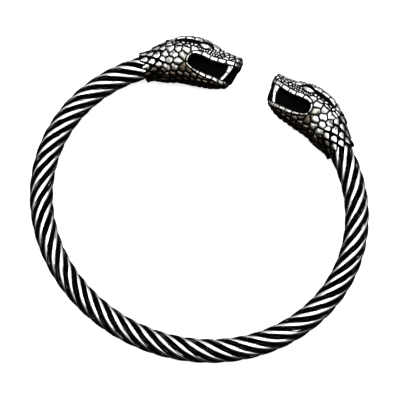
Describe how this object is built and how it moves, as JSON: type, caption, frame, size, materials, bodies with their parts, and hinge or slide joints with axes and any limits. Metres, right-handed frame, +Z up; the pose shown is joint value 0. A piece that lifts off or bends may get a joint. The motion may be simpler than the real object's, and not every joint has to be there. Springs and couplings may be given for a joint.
{
  "type": "open arm ring of twisted steel rope with serpent heads",
  "caption": "open oval arm ring of twisted wire rope, its ends set in cast open-mouthed serpent heads that face each other across the gap",
  "frame": {"origin": "on the floor, at the middle of the footprint of the ring as it lies on its side", "axes": "+Z up, +Y toward the opening between the two heads, +X along the ring's long axis"},
  "size_m": [0.0756, 0.0676, 0.0097],
  "materials": {
    "strand_steel": "stainless wire, polished on the crests, blackened in the grooves",
    "core_steel": "plain drawn wire, hidden inside the strands",
    "cast_steel": "cast stainless steel, scales polished, recesses blackened"
  },
  "bodies": {
    "root": {"head_left": "cast_steel", "head_right": "cast_steel", "core_wire": "core_steel", "strand_1": "strand_steel", "strand_2": "strand_steel", "strand_3": "strand_steel", "strand_4": "strand_steel", "strand_5": "strand_steel", "strand_6": "strand_steel", "strand_7": "strand_steel"}
  },
  "joints": []
}
